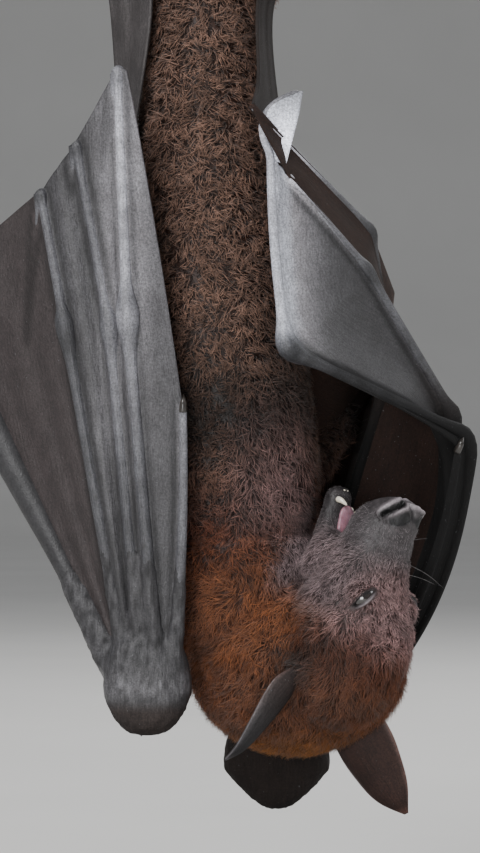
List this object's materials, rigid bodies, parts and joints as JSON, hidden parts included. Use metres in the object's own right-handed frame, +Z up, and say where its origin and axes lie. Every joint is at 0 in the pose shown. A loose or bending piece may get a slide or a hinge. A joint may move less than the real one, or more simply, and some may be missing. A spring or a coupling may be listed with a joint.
{
  "type": "fruit bat",
  "caption": "Life-size fruit bat hanging head-down from a cut branch on a display stand, one wing folded and the other half open round its head.",
  "frame": {"origin": "middle of the underside of the stand's base", "axes": "+Z up, opposite to the way the animal's head points; -Y the way its belly faces; its left side is at -X"},
  "size_m": [0.35, 0.23, 0.5922],
  "materials": {
    "body_fur": "woolly dark reddish-brown fur with pale tips",
    "mantle_fur": "dense orange-brown fur",
    "face_fur": "short dark grey-brown fur, bare charcoal muzzle",
    "membrane": "charcoal grey satin skin, finely ridged",
    "eye": "dark brown, wet gloss",
    "tongue": "moist dull pink",
    "bark": "rough grey-brown bark, sawn ends",
    "stand_base": "satin black painted board",
    "stand_rod": "brushed steel rod"
  },
  "bodies": {
    "root": {"stand_rod_left": "stand_rod", "stand_rod_right": "stand_rod", "stand_base": "stand_base", "perch": "bark", "foot_left": "membrane", "shank_left": "body_fur", "thigh_left": "body_fur", "foot_right": "membrane", "shank_right": "body_fur", "thigh_right": "body_fur", "lower_jaw": "face_fur", "tongue": "tongue", "eye_left": "eye", "eye_right": "eye", "head": "face_fur", "neck": "mantle_fur", "ear_left": "membrane", "ear_right": "membrane", "trunk": "body_fur", "wrist_left": "membrane", "thumb_left": "membrane", "forearm_left": "membrane", "upper_arm_left": "body_fur", "finger_2_left": "membrane", "finger_3_left": "membrane", "finger_4_left": "membrane", "finger_5_left": "membrane", "front_web_left": "membrane", "web_3_4_left": "membrane", "web_4_5_left": "membrane", "arm_web_left": "membrane", "shoulder_web_left": "membrane", "leg_web_left": "membrane", "flank_web_left": "membrane", "wrist_right": "membrane", "thumb_right": "membrane", "forearm_right": "membrane", "upper_arm_right": "body_fur", "finger_2_right": "membrane", "finger_3_right": "membrane", "finger_4_right": "membrane", "finger_5_right": "membrane", "front_web_right": "membrane", "web_3_4_right": "membrane", "web_4_5_right": "membrane", "arm_web_right": "membrane", "shoulder_web_right": "membrane", "leg_web_right": "membrane", "flank_web_right": "membrane", "tip_web_right": "membrane"}
  },
  "joints": []
}
